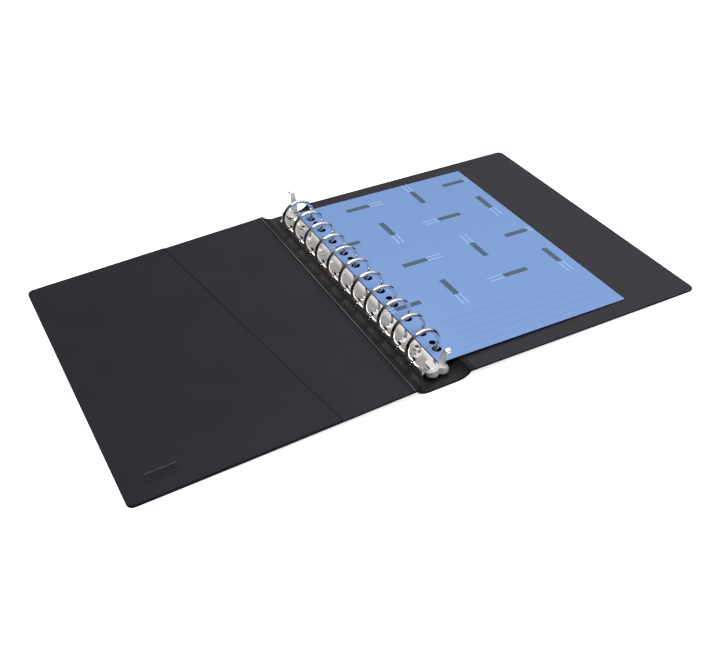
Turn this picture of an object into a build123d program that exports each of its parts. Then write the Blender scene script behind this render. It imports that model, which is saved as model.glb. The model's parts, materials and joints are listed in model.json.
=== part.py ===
"""Ring binder lying open: covers on living hinges, a rounded spine with a label pocket,
a steel arch mechanism with snap rings and two levers, and a punched index card.

Frame: X across the binder (front cover at -X, back cover at +X), Y along the spine,
+Z up. The origin is at the middle of the spine's label pocket, where it meets the table.
"""

import os
from math import acos, asin, atan2, cos, degrees, hypot, radians, sin, sqrt, tan

from build123d import *

os.makedirs("parts", exist_ok=True)

# ---------------------------------------------------------------- driving dimensions (mm)

# covers and spine
cover_length = 334.0
cover_width = 260.0
cover_thickness = 2.0
cover_corner_radius = 6.0
spine_width = 55.0
hinge_height = 7.5
spine_flat_margin = 0.4
hinge_clearance = 0.3

# label pocket under the spine
film_thickness = 0.4
label_thickness = 0.3
label_clearance = 0.15
pocket_end_margin = 0.6
pocket_wall_angle = 38.0
pocket_weld_angle = 3.0
pocket_end_weld = 3.0
label_end_margin = 4.0
label_wall_angle = 30.0

# pocket inside the front cover
inner_pocket_sheet = 0.5
inner_pocket_gap = 0.3
inner_pocket_margin = 0.4
inner_pocket_weld = 6.0
inner_pocket_near_reach = 72.0
inner_pocket_far_reach = 114.0
plaque_length = 28.0
plaque_height = 8.5
plaque_rim = 0.8
plaque_relief = 0.25
plaque_from_outer_edge = 35.5
plaque_from_near_edge = 23.0

# arch plate
plate_end_margin = 16.0
plate_half_width = 14.6
plate_crease_inset = 2.4
plate_crease_height = 5.6
plate_crown_height = 9.0
plate_thickness = 1.0
plate_lip = 1.6

# rings
ring_count = 11
ring_end_margin = 21.0
ring_radius = 16.5
ring_foot_tuck = 2.1
ring_foot_inset = 1.25
wire_radius = 1.9
ring_joint_gap = 0.2
joint_pin_radius = 0.6
joint_pin_length = 1.0
joint_socket_clearance = 0.15
shank_radius = 0.9
shank_fit = 0.02
notch_half_length = 2.6
notch_depth = 6.2
notch_sill_height = 2.3

# carrier blades
blade_thickness = 1.0
blade_pivot_inset = 3.3
blade_pivot_lift = 3.6
blade_closed_angle = 8.0
blade_centre_gap = 0.3
blade_end_margin = 7.5

# eyelets that hold the mechanism to the spine
eyelet_inset = 32.0
eyelet_bore_radius = 1.9
eyelet_wall = 0.6
eyelet_head_radius = 4.2
eyelet_head_thickness = 0.7
eyelet_head_clearance = 0.3
eyelet_fit = 0.05
sleeve_wall = 0.65
sleeve_clearance = 0.9
sleeve_top_gap = 0.05

# levers
lever_pivot_inset = 1.5
lever_pivot_lift = 4.5
lever_pin_radius = 1.2
lever_pin_fit = 0.05
lever_hub_radius = 2.3
lever_hub_half = 5.0
lever_pin_inset = 2.0
neck_thickness = 2.6
claw_reach = 7.5
claw_half = 2.0
claw_floor_gap = 0.3
claw_lower_thickness = 0.6
claw_mouth = 2.1
claw_upper_thickness = 1.0
claw_web = 1.9
lever_sheet = 1.2
lever_end_gap = 1.0
hood_drop = 4.8
lobe_radius = 6.2
lobe_shift = 1.0
apron_lift = 3.8
finger_gap = 0.6
finger_reach = 8.0
finger_left = -6.0
finger_right = 0.5
finger_tip_rounding = 0.45
tab_left = 1.6
tab_right = 9.0
tab_top_left = 4.6
tab_lift = 31.4
tab_lean = 3.6
tab_bow = 1.4
grip_radius = 2.4
grip_rib_radius = 1.0
grip_rib_angle = 48.0
grip_ribs = 3

# index card
card_width = 210.0
card_end_margin = 18.5
card_thickness = 0.4
card_rest_gap = 0.3
card_dome_gap = 0.3
card_hole_margin = 9.1
card_hole_shift = 0.9
ring_hole_radius = 4.4
filing_holes = 4
filing_hole_margin = 10.5
filing_hole_radius = 3.2
filing_end_margin = 28.5
card_corner_radius = 1.5

# ---------------------------------------------------------------- derived places

half_length = cover_length / 2
hinge_x = spine_width / 2
spine_flat_half = plate_half_width + spine_flat_margin
spine_bottom = film_thickness + label_thickness + 2 * label_clearance
floor_height = spine_bottom + cover_thickness
cover_slope = asin((hinge_height - cover_thickness / 2) / cover_width)

# the spine's mid-line runs flat, then up a round corner that ends on the hinge line
corner_run = hinge_x - spine_flat_half
corner_rise = hinge_height - spine_bottom - cover_thickness / 2
corner_radius = (corner_run**2 + corner_rise**2) / (2 * corner_rise)
corner_centre = (spine_flat_half, hinge_height - corner_rise + corner_radius)
corner_angle = degrees(asin(corner_run / corner_radius))

plate_end = half_length - plate_end_margin
plate_base = floor_height
plate_crease_half = plate_half_width - plate_crease_inset
plate_crease = plate_base + plate_crease_height
plate_crown = plate_base + plate_crown_height

last_ring = plate_end - ring_end_margin
ring_pitch = 2 * last_ring / (ring_count - 1)
ring_stations = [index * ring_pitch - last_ring for index in range(ring_count)]
eyelet_station = plate_end - eyelet_inset
eyelet_outer_radius = eyelet_bore_radius + eyelet_wall
sleeve_outer_radius = eyelet_outer_radius + eyelet_fit + sleeve_wall

eyelet_hole_radius = eyelet_outer_radius + eyelet_fit
plate_mouth_half = plate_half_width - plate_lip
notch_width = notch_depth + plate_thickness
notch_centre = plate_half_width - notch_depth + notch_width / 2

blade_pivot_half = plate_half_width - blade_pivot_inset
blade_pivot_height = floor_height + blade_pivot_lift
blade_width = blade_pivot_half - blade_centre_gap / 2
blade_end = plate_end - blade_end_margin
lever_pivot_y = plate_end - lever_pivot_inset
lever_pivot_height = floor_height + lever_pivot_lift
lever_pin_half = plate_half_width - lever_pin_inset
upper_jaw_bottom = floor_height + claw_floor_gap + claw_lower_thickness + claw_mouth

dome_rise = plate_crown_height - plate_crease_height
dome_radius = (plate_crease_half**2 + dome_rise**2) / (2 * dome_rise)


def dome_height(place):
    """Height of the plate's domed top at a distance from its middle."""
    return plate_crown - dome_radius + sqrt(dome_radius**2 - place**2)


def slope_plane(side):
    """The mid-plane of a cover, from its hinge line outwards; side is -1 front, +1 back."""
    return Plane(
        origin=(side * hinge_x, 0, hinge_height),
        x_dir=(side * cos(cover_slope), 0, -sin(cover_slope)),
        z_dir=(side * sin(cover_slope), 0, cos(cover_slope)),
    )


def blade_plane(side):
    """The mid-plane of a carrier blade, from its pivot line to the middle of the plate."""
    angle = radians(blade_closed_angle)
    return Plane(
        origin=(side * blade_pivot_half, 0, blade_pivot_height),
        x_dir=(-side * cos(angle), 0, -sin(angle)),
        z_dir=(-side * sin(angle), 0, cos(angle)),
    )


def crossways(station):
    """The plane across the binder at one place along the spine: its x is X and its y is Z."""
    return Plane.XZ.offset(-station)


def finish(builder, label):
    """Name a finished piece and write it out."""
    builder.part.label = label
    export_step(builder.part, f"parts/{label}.step")


# ---------------------------------------------------------------- covers and spine


def corner_sector(inner_radius, outer_radius, first_angle, last_angle):
    """Part of the round corner between two radii, angles counted from straight down."""
    with BuildSketch() as sector:
        with BuildLine():
            inner = CenterArc(corner_centre, inner_radius, first_angle - 90, last_angle - first_angle)
            outer = CenterArc(corner_centre, outer_radius, first_angle - 90, last_angle - first_angle)
            Line(inner @ 0, outer @ 0)
            Line(inner @ 1, outer @ 1)
        make_face()
    return sector.sketch


def trough(inner_radius, outer_radius, wall_angle):
    """A flat-bottomed trough with round walls, as the spine and what follows it have."""
    with BuildSketch() as band:
        with Locations((0, corner_centre[1] - outer_radius)):
            Rectangle(
                2 * spine_flat_half, outer_radius - inner_radius, align=(Align.CENTER, Align.MIN)
            )
        add(corner_sector(inner_radius, outer_radius, 0, wall_angle))
        mirror(about=Plane.YZ)
    return band.sketch


def make_cover(side):
    """A flat cover with a round bead along its hinge line and rounded outer corners."""
    with BuildPart() as cover:
        with BuildSketch(slope_plane(side)) as outline:
            Rectangle(cover_width, cover_length, align=(Align.MIN, Align.CENTER))
            fillet(outline.vertices().group_by(Axis.X)[-1], cover_corner_radius)
        extrude(amount=cover_thickness / 2, both=True)
        with BuildSketch(Plane.XZ):
            with Locations((side * hinge_x, hinge_height)):
                Circle(cover_thickness / 2)
        extrude(amount=half_length, both=True)
    return cover


front_cover = make_cover(-1)
finish(front_cover, "front_cover")

back_cover = make_cover(1)
finish(back_cover, "back_cover")

spine_outer_radius = corner_radius + cover_thickness / 2
spine_inner_radius = corner_radius - cover_thickness / 2
eyelet_places = [(0, eyelet_station), (0, -eyelet_station)]

with BuildPart() as spine:
    with BuildSketch(Plane.XZ):
        add(trough(spine_inner_radius, spine_outer_radius, corner_angle))
        with Locations((hinge_x, hinge_height), (-hinge_x, hinge_height)):
            Circle(cover_thickness / 2 + hinge_clearance, mode=Mode.SUBTRACT)
    extrude(amount=half_length, both=True)
    with BuildSketch(Plane.XY.offset(spine_bottom)):
        with Locations(eyelet_places):
            Circle(eyelet_head_radius + eyelet_head_clearance)
    extrude(amount=eyelet_head_thickness, mode=Mode.SUBTRACT)
    with BuildSketch(Plane.XY.offset(spine_bottom)):
        with Locations(eyelet_places):
            Circle(eyelet_hole_radius)
    extrude(amount=cover_thickness, mode=Mode.SUBTRACT)
finish(spine, "spine")

# ---------------------------------------------------------------- label pocket

film_outer_radius = spine_outer_radius + spine_bottom
film_inner_radius = film_outer_radius - film_thickness
label_outer_radius = film_inner_radius - label_clearance
label_inner_radius = label_outer_radius - label_thickness
film_half_length = half_length - pocket_end_margin

with BuildPart() as spine_pocket:
    with BuildSketch(Plane.XZ):
        add(trough(film_inner_radius, film_outer_radius, pocket_wall_angle))
        add(
            corner_sector(
                spine_outer_radius,
                film_outer_radius,
                pocket_wall_angle - pocket_weld_angle,
                pocket_wall_angle,
            )
        )
        mirror(about=Plane.YZ)
    extrude(amount=film_half_length, both=True)
    with BuildSketch(crossways(film_half_length)):
        add(trough(spine_outer_radius, film_outer_radius, pocket_wall_angle))
    extrude(amount=pocket_end_weld)
finish(spine_pocket, "spine_pocket")

with BuildPart() as spine_label:
    with BuildSketch(Plane.XZ):
        add(trough(label_inner_radius, label_outer_radius, label_wall_angle))
    extrude(amount=film_half_length - label_end_margin, both=True)
finish(spine_label, "spine_label")

# ---------------------------------------------------------------- pocket inside the front cover

# on this plane x runs from the hinge to the outer edge, and y towards -Y
front_inside = slope_plane(-1).offset(cover_thickness / 2)
pocket_half_length = half_length - inner_pocket_margin
pocket_outer = cover_width - inner_pocket_margin
cavity_half_length = pocket_half_length - inner_pocket_weld
plaque_place = (cover_width - plaque_from_outer_edge, half_length - plaque_from_near_edge)

with BuildPart() as inner_pocket:
    with BuildSketch(front_inside) as pocket_outline:
        with BuildLine():
            Polyline(
                (inner_pocket_far_reach, -pocket_half_length),
                (pocket_outer, -pocket_half_length),
                (pocket_outer, pocket_half_length),
                (inner_pocket_near_reach, pocket_half_length),
                close=True,
            )
        make_face()
        fillet(
            pocket_outline.vertices().group_by(Axis.X)[-1],
            cover_corner_radius - inner_pocket_margin,
        )
    extrude(amount=inner_pocket_gap + inner_pocket_sheet)
    with BuildSketch(front_inside):
        Rectangle(
            pocket_outer - inner_pocket_weld,
            2 * cavity_half_length,
            align=(Align.MIN, Align.CENTER),
        )
    extrude(amount=inner_pocket_gap, mode=Mode.SUBTRACT)
    with BuildSketch(front_inside.offset(inner_pocket_gap + inner_pocket_sheet)):
        with Locations(plaque_place):
            Rectangle(plaque_length, plaque_height)
            offset(amount=-plaque_rim, mode=Mode.SUBTRACT)
    extrude(amount=plaque_relief)
finish(inner_pocket, "inner_pocket")

# ---------------------------------------------------------------- arch plate

with BuildPart() as arch_plate:
    with BuildSketch(Plane.XZ):
        with BuildLine():
            Polyline(
                (-plate_crease_half, plate_crease),
                (-plate_half_width, plate_base),
                (plate_half_width, plate_base),
                (plate_crease_half, plate_crease),
            )
            ThreePointArc(
                (plate_crease_half, plate_crease),
                (0, plate_crown),
                (-plate_crease_half, plate_crease),
            )
        make_face()
        offset(amount=-plate_thickness, kind=Kind.INTERSECTION, mode=Mode.SUBTRACT)
        with Locations((0, plate_base)):
            Rectangle(2 * plate_mouth_half, 2 * plate_thickness, mode=Mode.SUBTRACT)
    extrude(amount=plate_end, both=True)
    # a notch on each side lets every ring leg through the crease
    with BuildSketch(Plane.XY.offset(plate_base + notch_sill_height)):
        for side in (-1, 1):
            with Locations([(side * notch_centre, station) for station in ring_stations]):
                Rectangle(notch_width, 2 * notch_half_length)
    extrude(amount=plate_crown_height, mode=Mode.SUBTRACT)
    with BuildSketch(Plane.XY.offset(plate_crease)):
        with Locations(eyelet_places):
            Circle(eyelet_hole_radius)
    extrude(amount=plate_crown_height, mode=Mode.SUBTRACT)
    with BuildSketch(Plane.YZ):
        with Locations((lever_pivot_y, lever_pivot_height), (-lever_pivot_y, lever_pivot_height)):
            Circle(lever_pin_radius)
    extrude(amount=plate_half_width, both=True, mode=Mode.SUBTRACT)
finish(arch_plate, "arch_plate")

# ---------------------------------------------------------------- rings and their carrier blades

# a leg leaves the ring's circle where a tangent from its foot touches it
foot_x = blade_pivot_half - ring_foot_inset
foot_drop = ring_radius - ring_foot_tuck
ring_centre_height = blade_pivot_height + foot_drop
foot_distance = hypot(foot_x, foot_drop)
leg_bend = atan2(foot_drop, foot_x) - acos(ring_radius / foot_distance)
leg_bend_x = ring_radius * cos(leg_bend)
joint_turn = degrees(ring_joint_gap / 2 / ring_radius)
ring_top = ring_centre_height + ring_radius


def make_ring_half(side, station):
    """Half a ring: a round arc, a straight leg down to the blade and a shank through it."""
    shank_plane = blade_plane(side)
    with BuildPart() as ring_half:
        with BuildLine(crossways(station)) as wire_line:
            arc = CenterArc(
                (0, ring_centre_height),
                ring_radius,
                90 - side * joint_turn,
                -side * (90 + degrees(leg_bend) - joint_turn),
            )
            Line(arc @ 1, (side * foot_x, blade_pivot_height))
        with BuildSketch(Plane(origin=wire_line.wire() @ 0, z_dir=wire_line.wire() % 0)):
            Circle(wire_radius)
        sweep()
        split(bisect_by=shank_plane.offset(blade_thickness / 2), keep=Keep.TOP)
        with BuildSketch(shank_plane.offset(-blade_thickness / 2)):
            with Locations((ring_foot_inset, side * -station)):
                Circle(shank_radius)
        extrude(amount=blade_thickness + wire_radius)
        # the left half carries a joint pin, and the right half the socket that it enters
        joint_plane = Plane(origin=(0, station, ring_top), z_dir=(1, 0, 0))
        with BuildSketch(joint_plane.offset(-ring_joint_gap if side < 0 else 0)):
            Circle(joint_pin_radius if side < 0 else joint_pin_radius + joint_socket_clearance)
        if side < 0:
            extrude(amount=joint_pin_length + ring_joint_gap)
        else:
            extrude(amount=joint_pin_length + 2 * joint_socket_clearance, mode=Mode.SUBTRACT)
    return ring_half


def make_blade(side):
    """A carrier blade: a long strip hung on its outer edge in the plate's lip."""
    blade_sheet = blade_plane(side)
    with BuildPart() as blade:
        with BuildSketch(blade_sheet):
            Rectangle(blade_width, 2 * blade_end, align=(Align.MIN, Align.CENTER))
            with Locations((blade_pivot_half, eyelet_station), (blade_pivot_half, -eyelet_station)):
                Circle(sleeve_outer_radius + sleeve_clearance, mode=Mode.SUBTRACT)
        extrude(amount=blade_thickness / 2, both=True)
        with BuildSketch(Plane.XZ):
            with Locations((side * blade_pivot_half, blade_pivot_height)):
                Circle(blade_thickness / 2)
        extrude(amount=blade_end, both=True)
        with BuildSketch(blade_sheet):
            with Locations([(ring_foot_inset, station) for station in ring_stations]):
                Circle(shank_radius + shank_fit)
        extrude(amount=blade_thickness, both=True, mode=Mode.SUBTRACT)
    return blade


for side, hand in ((-1, "left"), (1, "right")):
    finish(make_blade(side), f"{hand}_blade")
    for index, station in enumerate(reversed(ring_stations), start=1):
        finish(make_ring_half(side, station), f"{hand}_ring_{index:02d}")

# ---------------------------------------------------------------- eyelets and their sleeves

eyelet_foot = spine_bottom
eyelet_top = plate_crown + eyelet_head_thickness

with BuildPart() as eyelets:
    with BuildSketch(Plane.XY.offset(eyelet_foot)):
        with Locations(eyelet_places):
            Circle(eyelet_outer_radius)
    extrude(amount=eyelet_top - eyelet_foot)
    for head_bottom in (eyelet_foot, plate_crown):
        with BuildSketch(Plane.XY.offset(head_bottom)):
            with Locations(eyelet_places):
                Circle(eyelet_head_radius)
        extrude(amount=eyelet_head_thickness)
    fillet(eyelets.edges().group_by(Axis.Z)[-1], eyelet_head_thickness / 2)
    with BuildSketch(Plane.XY.offset(eyelet_foot)):
        with Locations(eyelet_places):
            Circle(eyelet_bore_radius)
    extrude(amount=eyelet_top - eyelet_foot, mode=Mode.SUBTRACT)
finish(eyelets, "eyelets")

with BuildPart() as eyelet_sleeves:
    with BuildSketch(Plane.XY.offset(floor_height)):
        with Locations(eyelet_places):
            Circle(sleeve_outer_radius)
            Circle(eyelet_hole_radius, mode=Mode.SUBTRACT)
    extrude(amount=dome_height(sleeve_outer_radius) - plate_thickness - sleeve_top_gap - floor_height)
finish(eyelet_sleeves, "eyelet_sleeves")

# ---------------------------------------------------------------- levers

hood_start = plate_end + lever_end_gap
hood_crown = plate_crown + finger_gap + lever_sheet
hood_edge = hood_crown - hood_drop
finger_end = lever_pivot_y - finger_reach
hood_half_width = plate_crease_half
lobe_spread = hood_half_width - lobe_radius - lobe_shift
apron_bottom = floor_height + apron_lift
tab_foot = (hood_start + lever_sheet, hood_crown - lever_sheet / 2)
tab_top = (tab_foot[0] + tab_lean, floor_height + tab_lift - grip_radius)
tab_ceiling = tab_top[1] + 2 * grip_radius


def hood_block(inset):
    """The space under a two-lobed arch, drawn in by an inset on every side but the open back."""
    with BuildPart() as block:
        with BuildSketch(Plane.XY.offset(apron_bottom - inset)):
            with Locations(
                (lobe_shift + lobe_spread, hood_start), (lobe_shift - lobe_spread, hood_start)
            ):
                Circle(lobe_radius - inset)
            with Locations((lobe_shift, hood_start)):
                Rectangle(2 * lobe_spread, lobe_radius / 2, align=(Align.CENTER, Align.MIN))
                Rectangle(
                    4 * lobe_radius,
                    2 * lobe_radius,
                    align=(Align.CENTER, Align.MAX),
                    mode=Mode.SUBTRACT,
                )
        extrude(amount=2 * hood_crown)
        with BuildSketch(crossways(hood_start)):
            with BuildLine():
                arch = ThreePointArc(
                    (-hood_half_width, hood_edge - inset),
                    (0, hood_crown - inset),
                    (hood_half_width, hood_edge - inset),
                )
                Polyline(arch @ 1, (hood_half_width, 0), (-hood_half_width, 0), arch @ 0)
            make_face()
        extrude(amount=-2 * lobe_radius, mode=Mode.INTERSECT)
    return block.part


with BuildPart() as thumb_tab:
    # it rises from the hood, bows outwards and ends in a ribbed curl
    with BuildSketch(Plane.YZ.offset(tab_left)):
        with BuildLine():
            stem = SagittaArc(tab_foot, tab_top, tab_bow)
            CenterArc((tab_top[0] + grip_radius, tab_top[1]), grip_radius, 180, -180)
        trace(line_width=lever_sheet)
        with Locations((tab_top[0] + grip_radius, tab_top[1])):
            with PolarLocations(grip_radius, grip_ribs, 0, grip_rib_angle * grip_ribs):
                Circle(grip_rib_radius)
    extrude(amount=tab_right - tab_left)
    # its inner side slopes, so that it is narrower at the top
    with BuildSketch(Plane.XZ):
        with BuildLine():
            Polyline(
                (tab_left, 0),
                (tab_right, 0),
                (tab_right, tab_ceiling),
                (tab_top_left, tab_ceiling),
                (tab_left, hood_crown),
                close=True,
            )
        make_face()
    extrude(amount=-plate_end - 4 * lobe_radius, mode=Mode.INTERSECT)

with BuildPart() as far_lever:
    # hood: a two-lobed cap over the end of the plate, open towards it
    add(hood_block(0))
    add(hood_block(lever_sheet), mode=Mode.SUBTRACT)
    # stop finger that lies over the plate's crown
    with BuildSketch(Plane.XY.offset(hood_crown - lever_sheet)) as finger_outline:
        with Locations(((finger_left + finger_right) / 2, finger_end)):
            Rectangle(
                finger_right - finger_left,
                hood_start + lever_sheet - finger_end,
                align=(Align.CENTER, Align.MIN),
            )
        fillet(
            finger_outline.vertices().group_by(Axis.Y)[0],
            (finger_right - finger_left) * finger_tip_rounding,
        )
    extrude(amount=lever_sheet)
    add(thumb_tab.part)
    # hub and neck: the neck leaves under the plate's end and rises into the hood
    with BuildSketch(Plane.YZ):
        with Locations((lever_pivot_y, lever_pivot_height)):
            Circle(lever_hub_radius)
            Rectangle(
                hood_start + neck_thickness - lever_pivot_y,
                neck_thickness,
                align=(Align.MIN, Align.CENTER),
            )
        with Locations((hood_start, lever_pivot_height - neck_thickness / 2)):
            Rectangle(
                neck_thickness,
                hood_crown - lever_sheet - lever_pivot_height + neck_thickness / 2,
                align=(Align.MIN, Align.MIN),
            )
    extrude(amount=lever_hub_half, both=True)
    # claw: one jaw under the blades and one over them
    with BuildSketch(Plane.YZ):
        with Locations((lever_pivot_y, floor_height + claw_floor_gap)):
            Rectangle(claw_reach, claw_lower_thickness, align=(Align.MAX, Align.MIN))
            Rectangle(claw_web, claw_mouth + claw_lower_thickness, align=(Align.MAX, Align.MIN))
        with Locations((lever_pivot_y, upper_jaw_bottom)):
            Rectangle(claw_reach, claw_upper_thickness, align=(Align.MAX, Align.MIN))
    extrude(amount=claw_half, both=True)
    with BuildSketch(Plane.YZ):
        with Locations((lever_pivot_y, lever_pivot_height)):
            Circle(lever_pin_radius + lever_pin_fit)
    extrude(amount=lever_hub_half, both=True, mode=Mode.SUBTRACT)
finish(far_lever, "far_lever")

with BuildPart() as near_lever:
    mirror(far_lever.part, about=Plane.XZ)
finish(near_lever, "near_lever")

for end, place in ((-1, "near"), (1, "far")):
    with BuildPart() as lever_pin:
        with BuildSketch(Plane.YZ):
            with Locations((end * lever_pivot_y, lever_pivot_height)):
                Circle(lever_pin_radius)
        extrude(amount=lever_pin_half, both=True)
    finish(lever_pin, f"{place}_lever_pin")

# ---------------------------------------------------------------- index card

# the card leans from the plate's dome to the back cover, where its outer edge rests
card_edge_x = leg_bend_x + card_hole_shift - card_hole_margin
card_edge_height = dome_height(card_edge_x) + card_dome_gap
card_far_x = card_edge_x + card_width
cover_top_there = hinge_height - (card_far_x - hinge_x) * tan(cover_slope) + cover_thickness / 2
card_slope = asin((card_edge_height - cover_top_there - card_rest_gap) / card_width)
card_plane = Plane(
    origin=(card_edge_x, 0, card_edge_height),
    x_dir=(cos(card_slope), 0, -sin(card_slope)),
    z_dir=(sin(card_slope), 0, cos(card_slope)),
)
card_half_length = half_length - card_end_margin
last_filing_hole = card_half_length - filing_end_margin
filing_pitch = 2 * last_filing_hole / (filing_holes - 1)
filing_stations = [index * filing_pitch - last_filing_hole for index in range(filing_holes)]

with BuildPart() as index_card:
    with BuildSketch(card_plane) as card_outline:
        Rectangle(card_width, 2 * card_half_length, align=(Align.MIN, Align.CENTER))
        fillet(card_outline.vertices(), card_corner_radius)
        with Locations([(card_hole_margin, station) for station in ring_stations]):
            Circle(ring_hole_radius, mode=Mode.SUBTRACT)
        with Locations([(filing_hole_margin, station) for station in filing_stations]):
            Circle(filing_hole_radius, mode=Mode.SUBTRACT)
    extrude(amount=card_thickness)
finish(index_card, "index_card")
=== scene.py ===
"""Looks of an open ring binder: grained plastic covers, a nickelled ring mechanism, a clear
label pocket under the spine and a printed index card.

Metres throughout: X across the binder, Y along the spine, Z up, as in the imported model.
"""

import json
from math import asin, radians, sin

import bmesh
import bpy
from mathutils import Matrix, Vector


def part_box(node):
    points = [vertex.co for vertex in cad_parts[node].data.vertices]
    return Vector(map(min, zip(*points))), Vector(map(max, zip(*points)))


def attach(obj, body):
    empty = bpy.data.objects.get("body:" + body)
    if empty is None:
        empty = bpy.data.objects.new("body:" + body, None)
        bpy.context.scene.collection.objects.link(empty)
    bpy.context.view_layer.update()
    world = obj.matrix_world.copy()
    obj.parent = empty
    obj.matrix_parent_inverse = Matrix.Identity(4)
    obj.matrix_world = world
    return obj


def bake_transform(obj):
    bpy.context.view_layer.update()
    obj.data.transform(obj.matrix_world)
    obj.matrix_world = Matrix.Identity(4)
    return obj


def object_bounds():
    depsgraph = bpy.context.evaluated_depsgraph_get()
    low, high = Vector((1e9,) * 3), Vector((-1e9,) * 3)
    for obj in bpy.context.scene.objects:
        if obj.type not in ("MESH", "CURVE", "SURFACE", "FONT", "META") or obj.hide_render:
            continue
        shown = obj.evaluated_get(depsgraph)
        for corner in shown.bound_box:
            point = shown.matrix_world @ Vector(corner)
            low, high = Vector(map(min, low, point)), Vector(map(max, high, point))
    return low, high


MM = 0.001

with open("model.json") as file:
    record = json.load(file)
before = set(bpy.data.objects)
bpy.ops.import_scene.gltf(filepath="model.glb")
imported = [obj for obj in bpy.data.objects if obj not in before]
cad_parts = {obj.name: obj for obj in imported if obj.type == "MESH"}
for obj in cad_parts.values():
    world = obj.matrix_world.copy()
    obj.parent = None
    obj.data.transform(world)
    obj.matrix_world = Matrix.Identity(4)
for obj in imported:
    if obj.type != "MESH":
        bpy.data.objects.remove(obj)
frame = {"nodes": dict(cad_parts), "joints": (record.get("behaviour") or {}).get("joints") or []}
cad_low, cad_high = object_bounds()
nodes = frame["nodes"]
scene = bpy.context.scene

# ---------------------------------------------------------------- camera, room and light

camera_place = (-0.3592, -0.7214, 0.5752)
# degrees: round from the Y axis, down from level, and about the line of sight
camera_turn, camera_dip, camera_roll = -26.67, 37.72, -2.35
sensor_width, focal_length = 36, 49.7


def place_camera():
    """The camera looks down over the near left corner of the binder, turned a little."""
    camera = bpy.data.objects.new("camera", bpy.data.cameras.new("camera"))
    scene.collection.objects.link(camera)
    camera.data.sensor_width = sensor_width
    camera.data.lens = focal_length
    camera.data.clip_start = 10 * MM
    camera.matrix_world = (
        Matrix.Translation(camera_place)
        @ Matrix.Rotation(radians(camera_turn), 4, "Z")
        @ Matrix.Rotation(radians(90 - camera_dip), 4, "X")
        @ Matrix.Rotation(radians(camera_roll), 4, "Z")
    )
    scene.camera = camera


def place_light(name, place, target, size, watts):
    """A soft square lamp that faces a point."""
    lamp = bpy.data.objects.new(name, bpy.data.lights.new(name, "AREA"))
    scene.collection.objects.link(lamp)
    lamp.data.size = size
    lamp.data.energy = watts
    toward = Vector(target) - Vector(place)
    facing = toward.to_track_quat("-Z", "Y").to_matrix().to_4x4()
    lamp.matrix_world = Matrix.Translation(place) @ facing


def set_room():
    """A studio that is dark low down and on the left, pale above and palest on the right."""
    room = bpy.data.worlds.new("room")
    room.use_nodes = True
    tree = room.node_tree
    direction = tree.nodes.new("ShaderNodeSeparateXYZ")
    place = tree.nodes.new("ShaderNodeTexCoord")
    tree.links.new(place.outputs["Generated"], direction.inputs["Vector"])

    def ramp(axis, start, end, low, high):
        """A smooth step in brightness as the direction turns along an axis."""
        made = tree.nodes.new("ShaderNodeMapRange")
        made.interpolation_type = "SMOOTHSTEP"
        made.inputs["From Min"].default_value = start
        made.inputs["From Max"].default_value = end
        made.inputs["To Min"].default_value = low
        made.inputs["To Max"].default_value = high
        tree.links.new(direction.outputs[axis], made.inputs["Value"])
        return made.outputs["Result"]

    def combine(operation, first, second):
        """One value from two, by an arithmetic operation."""
        made = tree.nodes.new("ShaderNodeMath")
        made.operation = operation
        tree.links.new(first, made.inputs[0])
        tree.links.new(second, made.inputs[1])
        return made.outputs[0]

    left_wall = ramp("X", start=-0.6, end=-0.1, low=0.12, high=1.0)
    right_wall = ramp("X", start=0.2, end=0.6, low=0.42, high=1.0)
    height = ramp("Z", start=0.05, end=0.5, low=0.03, high=1.0)
    walls = combine("MULTIPLY", height, combine("MULTIPLY", left_wall, right_wall))
    # what is seen of the room directly, and not by reflection, is plainly white
    seen = tree.nodes.new("ShaderNodeLightPath").outputs["Is Camera Ray"]
    background = tree.nodes["Background"]
    background.inputs["Color"].default_value = (0.99, 0.98, 1.0, 1)
    tree.links.new(combine("MAXIMUM", walls, seen), background.inputs["Strength"])
    scene.world = room
    scene.view_settings.view_transform = "Standard"


place_camera()
set_room()
place_light("overhead lamp", place=(0.15, -0.45, 1.75), target=(0, 0, 0), size=1.4, watts=37)

# ---------------------------------------------------------------- making pieces and materials

# sockets of a node that mixes colours
COLOUR_A, COLOUR_B, COLOUR_MIXED = 6, 7, 2


def piece_from(bm, name, body, material):
    """Turn a finished bmesh into a piece that rides on a body."""
    mesh = bpy.data.meshes.new(name)
    bm.to_mesh(mesh)
    bm.free()
    piece = bpy.data.objects.new(name, mesh)
    scene.collection.objects.link(piece)
    mesh.materials.append(material)
    if body is not None:
        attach(piece, body)
    return piece


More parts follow.
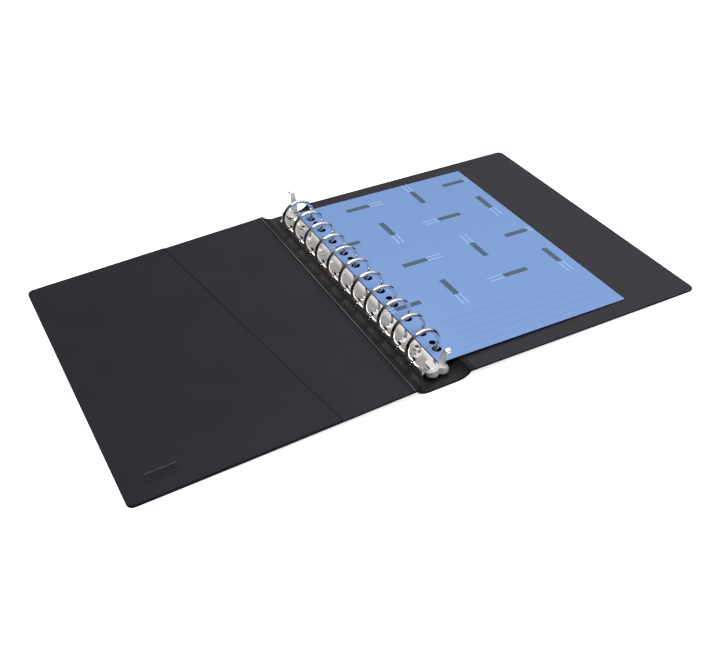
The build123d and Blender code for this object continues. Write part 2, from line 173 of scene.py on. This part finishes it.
class Finish:
    """One material with its shader, and short ways to add the nodes that feed it."""

    def __init__(self, name):
        self.material = bpy.data.materials.new(name)
        self.material.use_nodes = True
        self.tree = self.material.node_tree
        self.shader = self.tree.nodes["Principled BSDF"]
        self.place = self.node("ShaderNodeTexCoord").outputs["Object"]

    def node(self, kind, **settings):
        """Add a node; settings are its own fields."""
        made = self.tree.nodes.new(kind)
        for field, value in settings.items():
            setattr(made, field, value)
        return made

    def link(self, output, node, socket):
        """Feed an output into a node's socket, by the socket's name or number."""
        self.tree.links.new(output, node.inputs[socket])

    def surface(self, **sockets):
        """Set the shader's own sockets."""
        for name, value in sockets.items():
            self.shader.inputs[name.replace("_", " ")].default_value = value

    def noise(self, size, detail=3.0, stretch=None):
        """Soft noise whose blotches are about size metres across."""
        made = self.node("ShaderNodeTexNoise")
        made.inputs["Scale"].default_value = 1 / size
        made.inputs["Detail"].default_value = detail
        made.inputs["Roughness"].default_value = 0.5
        place = self.place
        if stretch is not None:
            mapping = self.node("ShaderNodeMapping")
            mapping.inputs["Scale"].default_value = stretch
            self.link(place, mapping, "Vector")
            place = mapping.outputs["Vector"]
        self.link(place, made, "Vector")
        return made.outputs["Fac"]

    def cells(self, size):
        """The small round cells of a moulded leather grain."""
        made = self.node("ShaderNodeTexVoronoi", feature="SMOOTH_F1")
        made.inputs["Scale"].default_value = 1 / size
        self.link(self.place, made, "Vector")
        return made.outputs["Distance"]

    def between(self, factor, low, high, from_low=0.0, from_high=1.0):
        """Spread a value over a range."""
        made = self.node("ShaderNodeMapRange")
        made.inputs["From Min"].default_value = from_low
        made.inputs["From Max"].default_value = from_high
        made.inputs["To Min"].default_value = low
        made.inputs["To Max"].default_value = high
        self.link(factor, made, "Value")
        return made.outputs["Result"]

    def colours(self, factor, first, second):
        """A colour between two others."""
        made = self.node("ShaderNodeMix", data_type="RGBA")
        made.inputs[COLOUR_A].default_value = (*first, 1)
        made.inputs[COLOUR_B].default_value = (*second, 1)
        self.link(factor, made, "Factor")
        return made.outputs[COLOUR_MIXED]

    def bump(self, height, depth, before=None):
        """Relief of a depth in metres."""
        made = self.node("ShaderNodeBump")
        made.inputs["Distance"].default_value = depth
        self.link(height, made, "Height")
        if before is not None:
            self.link(before, made, "Normal")
        self.link(made.outputs["Normal"], self.shader, "Normal")
        return made.outputs["Normal"]


def grained_plastic(name, dark, light, roughness, grain_depth):
    """Moulded polypropylene with a fine leather grain and a faint unevenness of tone."""
    finish = Finish(name)
    finish.surface(Specular_IOR_Level=0.32)
    patches = finish.between(finish.noise(60 * MM, detail=2.0), 0, 1, from_low=0.35, from_high=0.65)
    finish.link(finish.colours(patches, dark, light), finish.shader, "Base Color")
    fine = finish.noise(0.9 * MM, detail=2.0)
    finish.link(finish.between(fine, roughness - 0.06, roughness + 0.06), finish.shader, "Roughness")
    coarse = finish.bump(finish.cells(0.8 * MM), grain_depth)
    finish.bump(fine, grain_depth / 2, before=coarse)
    return finish.material


def nickel(name, roughness, tint, wave_depth, drawn, metallic=1.0):
    """Nickel plate, not quite even; drawn scales its fine marks, small along the way they run."""
    finish = Finish(name)
    finish.surface(Metallic=metallic)
    patches = finish.noise(6 * MM)
    duller = tuple(0.92 * part for part in tint)
    finish.link(finish.colours(patches, tint, duller), finish.shader, "Base Color")
    marks = finish.noise(0.4 * MM, detail=2.0, stretch=drawn)
    finish.link(finish.between(marks, roughness * 0.8, roughness * 1.3), finish.shader, "Roughness")
    wave = finish.bump(finish.noise(9 * MM, detail=1.0), wave_depth)
    finish.bump(marks, wave_depth / 20, before=wave)
    return finish.material


def card_stock():
    """Smooth blue card: the printed faces are pale blue, and the cut edges are painted dark teal as
    shade.
    """
    finish = Finish("blue card")
    finish.surface(Roughness=0.55, Specular_IOR_Level=0.3)
    fibres = finish.noise(0.7 * MM)
    face = finish.colours(fibres, (0.147, 0.250, 0.490), (0.157, 0.262, 0.510))
    upright = finish.node("ShaderNodeSeparateXYZ")
    finish.link(finish.node("ShaderNodeTexCoord").outputs["Normal"], upright, "Vector")
    flat = finish.node("ShaderNodeMath", operation="ABSOLUTE")
    finish.link(upright.outputs["Z"], flat, 0)
    mix = finish.node("ShaderNodeMix", data_type="RGBA")
    on_face = finish.between(flat.outputs[0], 0, 1, from_low=0.4, from_high=0.6)
    finish.link(on_face, mix, "Factor")
    # dark teal on the cut edges is painted shade, not the card's own colour
    mix.inputs[COLOUR_A].default_value = (0.02, 0.07, 0.10, 1)
    finish.link(face, mix, COLOUR_B)
    finish.link(mix.outputs[COLOUR_MIXED], finish.shader, "Base Color")
    finish.bump(fibres, 0.01 * MM)
    return finish.material


def ink(name, colour):
    """A flat printing ink with the card's fibres faintly in it."""
    finish = Finish(name)
    finish.surface(Roughness=0.5, Specular_IOR_Level=0.3)
    fibres = finish.noise(0.5 * MM)
    thinner = tuple(0.9 * part for part in colour)
    finish.link(finish.colours(fibres, colour, thinner), finish.shader, "Base Color")
    return finish.material


def clear_film():
    """Soft clear vinyl, faintly wavy."""
    finish = Finish("clear film")
    finish.surface(Base_Color=(0.93, 0.94, 0.95, 1), Roughness=0.12)
    finish.surface(IOR=1.45, Transmission_Weight=0.85)
    finish.bump(finish.noise(14 * MM, detail=1.0), 0.3 * MM)
    return finish.material


def label_paper():
    """Plain white paper with a faint texture of fibres."""
    finish = Finish("label paper")
    finish.surface(Roughness=0.8)
    fibres = finish.noise(0.6 * MM)
    paper = finish.colours(fibres, (0.78, 0.78, 0.77), (0.84, 0.84, 0.83))
    finish.link(paper, finish.shader, "Base Color")
    finish.bump(fibres, 0.02 * MM)
    return finish.material


def pale_floor():
    """A white sheet that glows, so that almost no shadow shows on it."""
    finish = Finish("pale floor")
    finish.surface(Base_Color=(0.9, 0.9, 0.9, 1), Roughness=0.8, Specular_IOR_Level=0.0)
    finish.surface(Emission_Color=(1, 1, 1, 1), Emission_Strength=0.75)
    return finish.material


cover_plastic = grained_plastic(
    "cover plastic",
    dark=(0.0080, 0.0072, 0.0125),
    light=(0.0100, 0.0092, 0.0150),
    roughness=0.44,
    grain_depth=0.03 * MM,
)
pocket_plastic = grained_plastic(
    "pocket plastic",
    dark=(0.0076, 0.0068, 0.0118),
    light=(0.0092, 0.0084, 0.0138),
    roughness=0.46,
    grain_depth=0.03 * MM,
)
creased_plastic = grained_plastic(
    "creased plastic",
    dark=(0.0105, 0.0100, 0.0120),
    light=(0.0130, 0.0125, 0.0150),
    roughness=0.26,
    grain_depth=0.008 * MM,
)
# pale glossy plastic: a painted highlight along the crest of the front hinge's rib
painted_crest_highlight = grained_plastic(
    "painted crest highlight",
    dark=(0.050, 0.050, 0.054),
    light=(0.150, 0.150, 0.155),
    roughness=0.22,
    grain_depth=0.008 * MM,
)
# pale plastic: a painted highlight on the plaque's far bar
painted_bar_highlight = grained_plastic(
    "painted bar highlight",
    dark=(0.050, 0.049, 0.054),
    light=(0.060, 0.059, 0.064),
    roughness=0.35,
    grain_depth=0.008 * MM,
)
# near-black plastic: painted shade for the hinge grooves and along the pocket's hem
painted_shade_plastic = grained_plastic(
    "painted shade plastic",
    dark=(0.0012, 0.0012, 0.0016),
    light=(0.0018, 0.0018, 0.0022),
    roughness=0.7,
    grain_depth=0.02 * MM,
)
spine_plastic = grained_plastic(
    "spine plastic",
    dark=(0.008, 0.0072, 0.0068),
    light=(0.011, 0.0098, 0.0092),
    roughness=0.32,
    grain_depth=0.015 * MM,
)

# how the metals' marks are scaled along X, Y and Z
drawn_along_spine = (1, 0.05, 1)
not_drawn = (1, 1, 1)
plate_nickel = nickel("plate nickel", 0.12, (0.87, 0.845, 0.81), 0.008 * MM, drawn_along_spine)
blade_steel = nickel("blade steel", 0.5, (0.075, 0.068, 0.062), 0.01 * MM, drawn_along_spine)
wire_nickel = nickel("wire nickel", 0.07, (0.88, 0.86, 0.84), 0.004 * MM, not_drawn)
lever_nickel = nickel(
    "lever nickel", 0.32, (0.95, 0.935, 0.91), 0.004 * MM, not_drawn, metallic=0.75
)
blue_card = card_stock()
slate_ink = ink("slate ink", (0.055, 0.100, 0.145))
pale_ink = ink("pale ink", (0.46, 0.60, 0.76))
rule_ink = ink("rule ink", (0.115, 0.205, 0.44))

# every node that isn't named here is a ring
finishes = {
    "front_cover": cover_plastic,
    "back_cover": cover_plastic,
    "spine": spine_plastic,
    "inner_pocket": pocket_plastic,
    "spine_pocket": clear_film(),
    "spine_label": label_paper(),
    "arch_plate": plate_nickel,
    "left_blade": blade_steel,
    "right_blade": blade_steel,
    "eyelets": plate_nickel,
    "eyelet_sleeves": plate_nickel,
    "near_lever": lever_nickel,
    "far_lever": lever_nickel,
    "near_lever_pin": wire_nickel,
    "far_lever_pin": wire_nickel,
    "index_card": blue_card,
}
for name, node in nodes.items():
    node.data.materials.clear()
    node.data.materials.append(finishes.get(name, wire_nickel))

# ---------------------------------------------------------------- the card's print

card_low, card_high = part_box("index_card")
card_thickness = 0.4 * MM
card_width = 210 * MM
card_slope = asin((card_high.z - card_low.z - card_thickness) / card_width)
card_inner_edge = (card_low.x + card_thickness * sin(card_slope), 0, card_high.z)
card_face = Matrix.Translation(card_inner_edge) @ Matrix.Rotation(card_slope, 4, "Y")
ink_thickness = 0.04 * MM

bar_length = 28 * MM
bar_height = 6.2 * MM
rail_length = 18 * MM
rail_width = 0.7 * MM
row_count = 4
mark_step = 62 * MM
first_row = 126 * MM
# marks that lie across the card: where they stand in the even rows and in the odd ones
even_row = (64.5 * MM, 189 * MM)
odd_row = (20 * MM, 144.5 * MM)
# marks that run along the card: how far across, on which side the rails are, and the first one
upright_columns = ((72 * MM, -1, 73 * MM), (136 * MM, 1, 117 * MM), (196 * MM, -1, 73 * MM))

rule_count = 5
rule_middle, rule_length = 116.5 * MM, 169 * MM
first_rule, rule_step = -98 * MM, 10.5 * MM
rule_width = 0.45 * MM


def stamp(bm, across, along, width, length):
    """A flat patch of ink; across is from the card's inner edge, along from its middle."""
    left = across - width / 2
    right = min(across + width / 2, card_width)
    bmesh.ops.create_cube(
        bm,
        size=1,
        matrix=card_face
        @ Matrix.Translation(((left + right) / 2, along, 0))
        @ Matrix.Diagonal((right - left, length, 2 * ink_thickness, 1)),
    )


def stamp_mark(bars, rails, across, along, upright, way):
    """A plain bar with a pair of pale rails after it, on the side that way says."""
    beyond = way * (bar_length + rail_length) / 2
    shift = (bar_height - rail_width) / 2
    if upright:
        stamp(bars, across, along, bar_height, bar_length)
        for side in (-1, 1):
            stamp(rails, across + side * shift, along + beyond, rail_width, rail_length)
    else:
        stamp(bars, across, along, bar_length, bar_height)
        for side in (-1, 1):
            stamp(rails, across + beyond, along + side * shift, rail_length, rail_width)


def print_card():
    """Plain marks in a staggered grid, and ruled lines near the bottom of the card."""
    bars = bmesh.new()
    rails = bmesh.new()
    rules = bmesh.new()
    for row in range(row_count):
        along = first_row - row * mark_step
        places, way = (odd_row, -1) if row % 2 else (even_row, 1)
        for across in places:
            stamp_mark(bars, rails, across, along, upright=False, way=way)
    for across, way, first in upright_columns:
        for along in (first, first - 2 * mark_step):
            stamp_mark(bars, rails, across, along, upright=True, way=way)
    for line in range(rule_count):
        stamp(rules, rule_middle, first_rule - line * rule_step, rule_length, rule_width)
    piece_from(bars, "card_bars", "card", slate_ink)
    piece_from(rails, "card_rails", "card", pale_ink)
    piece_from(rules, "card_rules", "card", rule_ink)


print_card()

# ---------------------------------------------------------------- ribs along the hinges

cover_thickness = 2 * MM
cover_width = 260 * MM
hinge_joint = next(joint for joint in frame["joints"] if joint["name"] == "back_cover_hinge")
hinge_x, hinge_height = hinge_joint["pos_m"][0], hinge_joint["pos_m"][2]
cover_half_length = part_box("back_cover")[1].y
cover_slope = asin((hinge_height - cover_thickness / 2) / cover_width)
# millimetres, from the spine outwards: how far from the hinge line, and how high
rib_outline = (
    (-1.2, -0.9),
    (-0.7, 0.30),
    (-0.1, 0.40),
    (0.3, 0.05),
    (1.5, -0.02),
    (1.8, 0.50),
    (2.3, 0.65),
    (2.8, 0.55),
    (3.4, 0.03),
    (4.4, 0.02),
    (4.9, 0.30),
    (6.2, 0.25),
    (7.6, -0.05),
)
# which stretches of that outline are grooves, painted dark as shade, and which is the crest
groove_reaches = ((0.4, 1.4), (3.5, 4.3))
crest_low, crest_high = 1.9, 2.7
groove_painted_shade, crest_finish = 1, 2
rib_root = 0.5 * MM
# a face whose normal has more than this of Z in it is on the upper side
upper_side = 0.3


def make_hinge_rib(side, name, crest):
    """Two grooves along the fold, painted dark as shade, with a crest between them; side is -1 or 1.
    """
    bm = bmesh.new()
    outline = []
    for away, up in rib_outline:
        fall = max(0, away) * MM * sin(cover_slope)
        height = hinge_height + cover_thickness / 2 + up * MM - fall
        place = (side * (hinge_x + away * MM), -cover_half_length, height)
        outline.append(bm.verts.new(place))
    # the underside runs back from below the outer end to below the inner one
    for above in (outline[-1], outline[1]):
        outline.append(bm.verts.new((above.co.x, above.co.y, above.co.z - rib_root)))
    made = bmesh.ops.extrude_face_region(bm, geom=[bm.faces.new(outline)])
    moved = [part for part in made["geom"] if isinstance(part, bmesh.types.BMVert)]
    bmesh.ops.translate(bm, verts=moved, vec=(0, 2 * cover_half_length, 0))
    bmesh.ops.recalc_face_normals(bm, faces=bm.faces)
    for face in bm.faces:
        away = (abs(face.calc_center_median().x) - hinge_x) / MM
        # upward faces in the grooves are painted near-black as shade
        if face.normal.z > upper_side and any(low < away < high for low, high in groove_reaches):
            face.material_index = groove_painted_shade
        elif face.normal.z > upper_side and crest_low < away < crest_high:
            face.material_index = crest_finish
    rib = piece_from(bm, name, None, creased_plastic)
    rib.data.materials.append(painted_shade_plastic)
    rib.data.materials.append(crest)
    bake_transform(rib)


# the front rib's crest carries a painted highlight; the back rib's crest is plain creased plastic
make_hinge_rib(-1, "front_hinge_rib", painted_crest_highlight)
make_hinge_rib(1, "back_hinge_rib", creased_plastic)

# ---------------------------------------------------------------- inside of the front cover

pocket_sheet_height = 0.8 * MM
# the pocket's slanted edge, by the distance from the hinge line at its two ends
hem_near, hem_far = 72 * MM, 114 * MM
hem_width, hem_height, hem_round = 1.3 * MM, 0.5 * MM, 0.2 * MM

plaque_length, plaque_height = 28 * MM, 8.5 * MM
# how far the plaque's middle is from the cover's outer edge and from its near end
plaque_outer, plaque_near = 35.5 * MM, 23 * MM
plaque_relief = 0.7 * MM
plaque_bar = 0.9 * MM
inner_bar = 0.8 * plaque_bar
inner_length = 0.78 * plaque_length
far_bar_highlight = 1


def front_inside(reach, along):
    """Where a point on the pocket sheet is, by its distances from the hinge and from mid length."""
    return (
        Matrix.Translation((-hinge_x, 0, hinge_height))
        @ Matrix.Rotation(-cover_slope, 4, "Y")
        @ Matrix.Translation((-reach, along, cover_thickness / 2 + pocket_sheet_height))
    )


def make_pocket_hem():
    """A folded hem along the slanted mouth of the pocket inside the front cover, painted near-black
    as the shade along that mouth.
    """
    pocket_low, pocket_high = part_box("inner_pocket")
    hem_length = pocket_high.y - pocket_low.y
    bm = bmesh.new()
    bmesh.ops.create_cube(bm, size=1)
    bmesh.ops.scale(bm, vec=(hem_width, hem_length, hem_height), verts=bm.verts)
    upper = [edge for edge in bm.edges if all(vert.co.z > 0 for vert in edge.verts)]
    bmesh.ops.bevel(
        bm,
        geom=upper,
        offset=hem_round,
        segments=3,
        profile=0.5,
        affect="EDGES",
        material=-1,
        clamp_overlap=True,
    )
    for vert in bm.verts:
        share = 0.5 + vert.co.y / hem_length
        vert.co.x += hem_near + (hem_far - hem_near) * share + hem_width / 2
    outwards = Matrix.Diagonal((-1, 1, 1, 1))
    bmesh.ops.transform(bm, verts=bm.verts, matrix=front_inside(0, 0) @ outwards)
    bmesh.ops.recalc_face_normals(bm, faces=bm.faces)
    # the hem is painted near-black as shade
    piece_from(bm, "pocket_hem", "front_cover", painted_shade_plastic)


def make_plaque():
    """A plain raised frame with two bars in it; its far bar is painted lighter as a highlight."""
    bm = bmesh.new()
    reach = cover_width - plaque_outer
    along = -cover_half_length + plaque_near

    def add_bar(across, up, length, height):
        """One raised bar, placed from the middle of the plaque; gives back its corners."""
        size = Matrix.Diagonal((length, height, plaque_relief, 1))
        place = front_inside(reach + across, along + up)
        return bmesh.ops.create_cube(bm, size=1, matrix=place @ size)["verts"]

    add_bar(0, -plaque_height / 2, plaque_length, plaque_bar)
    add_bar(0, plaque_height / 6, inner_length, inner_bar)
    add_bar(0, -plaque_height / 8, inner_length, inner_bar)
    for end in (-1, 1):
        add_bar(end * plaque_length / 2, 0, plaque_bar, plaque_height)
    far_bar = add_bar(0, plaque_height / 2, plaque_length, plaque_bar)
    # the far bar's faces are painted lighter as a highlight
    for vert in far_bar:
        for face in vert.link_faces:
            face.material_index = far_bar_highlight
    plaque = piece_from(bm, "plaque_frame", "front_cover", creased_plastic)
    plaque.data.materials.append(painted_bar_highlight)


make_pocket_hem()
make_plaque()

# ---------------------------------------------------------------- floor

floor_reach = 4
floor_gap = 0.05 * MM

floor = bmesh.new()
bmesh.ops.create_grid(floor, x_segments=1, y_segments=1, size=floor_reach)
bmesh.ops.translate(floor, verts=floor.verts, vec=(0, 0, cad_low.z - floor_gap))
floor_sheet = piece_from(floor, "floor", None, pale_floor())
floor_sheet.visible_glossy = False
